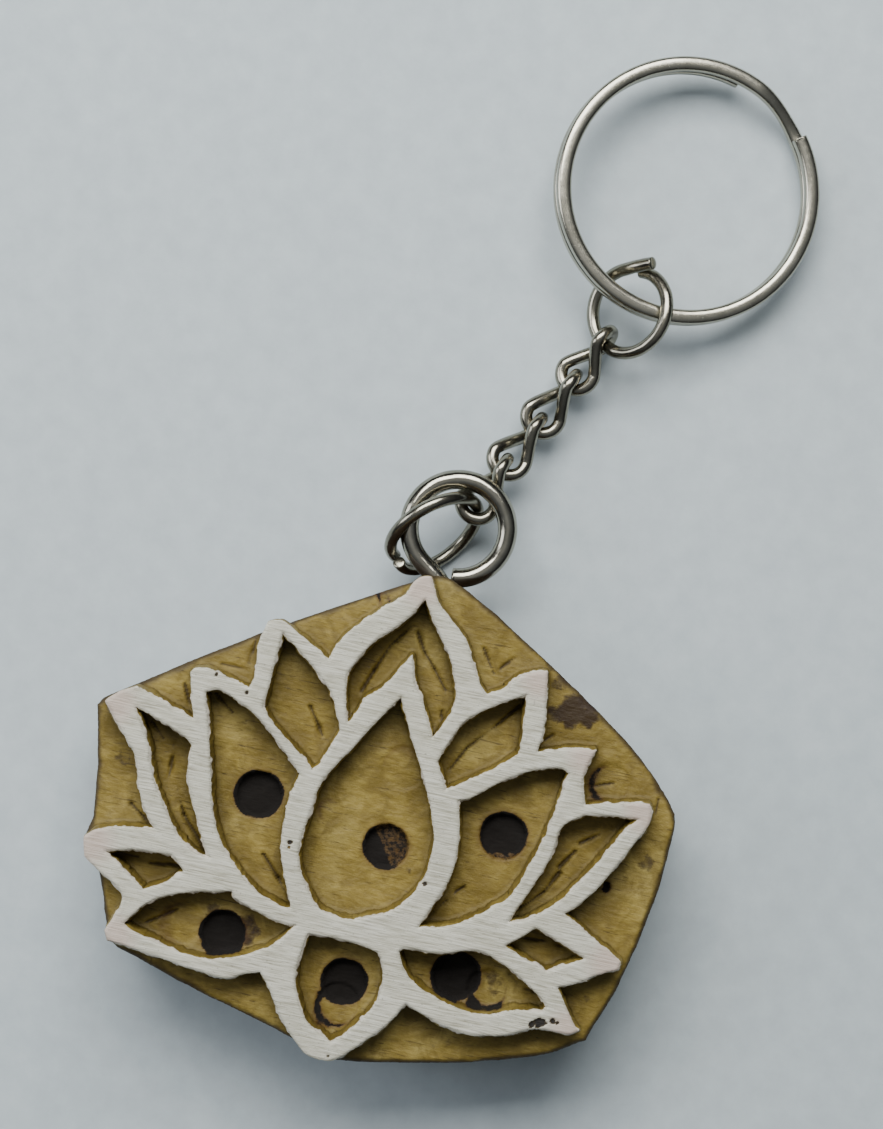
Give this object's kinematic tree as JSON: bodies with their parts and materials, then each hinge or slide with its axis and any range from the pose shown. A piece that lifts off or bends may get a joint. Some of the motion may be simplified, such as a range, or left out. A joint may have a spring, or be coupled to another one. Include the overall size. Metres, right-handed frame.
{
  "type": "printing block keychain",
  "caption": "Keychain with a carved wooden printing block, a screw eye, a short twisted chain on jump rings, and a split key ring.",
  "frame": {"origin": "on the block's flat back, below the axis of the screw eye's shank, level with the middle of the block", "axes": "+Z out of the carved face, away from the flat back; +Y along the screw eye's shank, from the block towards the chain; +X to the right seen from the carved side with +Y up"},
  "size_m": [0.0553, 0.0968, 0.0155],
  "materials": {
    "carved_wood": "oiled hardwood, olive brown, dark with age on the sides and in the drilled pits",
    "white_paint": "thin chalky white paint, worn and scratched",
    "plated_wire": "nickel-plated steel wire, bright",
    "plated_chain": "nickel-plated steel wire, bright, slightly worn",
    "plated_ring": "nickel-plated spring steel, bright"
  },
  "bodies": {
    "stamp": {"wood_block": "carved_wood", "paint_coat": "white_paint", "screw_eye": "plated_wire"},
    "ring_a": {"lower_jump_ring": "plated_chain"},
    "link_4": {"chain_link_4": "plated_chain"},
    "link_3": {"chain_link_3": "plated_chain"},
    "link_2": {"chain_link_2": "plated_chain"},
    "link_1": {"chain_link_1": "plated_chain"},
    "ring_b": {"upper_jump_ring": "plated_chain"},
    "key_ring_body": {"split_ring": "plated_ring"}
  },
  "joints": [
    {"name": "lower_ring_swing", "type": "hinge", "parent": "stamp", "child": "ring_a", "pos_m": [0, 0.0275, 0.0055], "axis": [0, 0, 1], "range_deg": [-30, 0]},
    {"name": "link_4_swing", "type": "hinge", "parent": "ring_a", "child": "link_4", "pos_m": [0.00127, 0.03029, 0.0037], "axis": [0.0717, 0.1731, 0.9823], "range_deg": [-15, 30]},
    {"name": "link_3_swing", "type": "hinge", "parent": "link_4", "child": "link_3", "pos_m": [0.00331, 0.03493, 0.00271], "axis": [0.0927, 0.1842, 0.9785], "range_deg": [-30, 35]},
    {"name": "link_2_fold", "type": "hinge", "parent": "link_3", "child": "link_2", "pos_m": [0.00488, 0.03805, 0.00197], "axis": [-0.8934, 0.4493, 0], "range_deg": [-45, 0]},
    {"name": "link_1_swing", "type": "hinge", "parent": "link_2", "child": "link_1", "pos_m": [0.00792, 0.04409, 0.00208], "axis": [-0.307, 0.0571, 0.95], "range_deg": [-35, 20]},
    {"name": "upper_ring_fold", "type": "hinge", "parent": "link_1", "child": "ring_b", "pos_m": [0.00952, 0.04727, 0.00241], "axis": [-0.84, 0.4531, -0.2986], "range_deg": [-40, 12]},
    {"name": "key_ring_swing", "type": "hinge", "parent": "ring_b", "child": "key_ring_body", "pos_m": [0.01135, 0.05057, 0.00371], "axis": [-0.6248, -0.003, 0.7808], "range_deg": [-40, 40]}
  ]
}
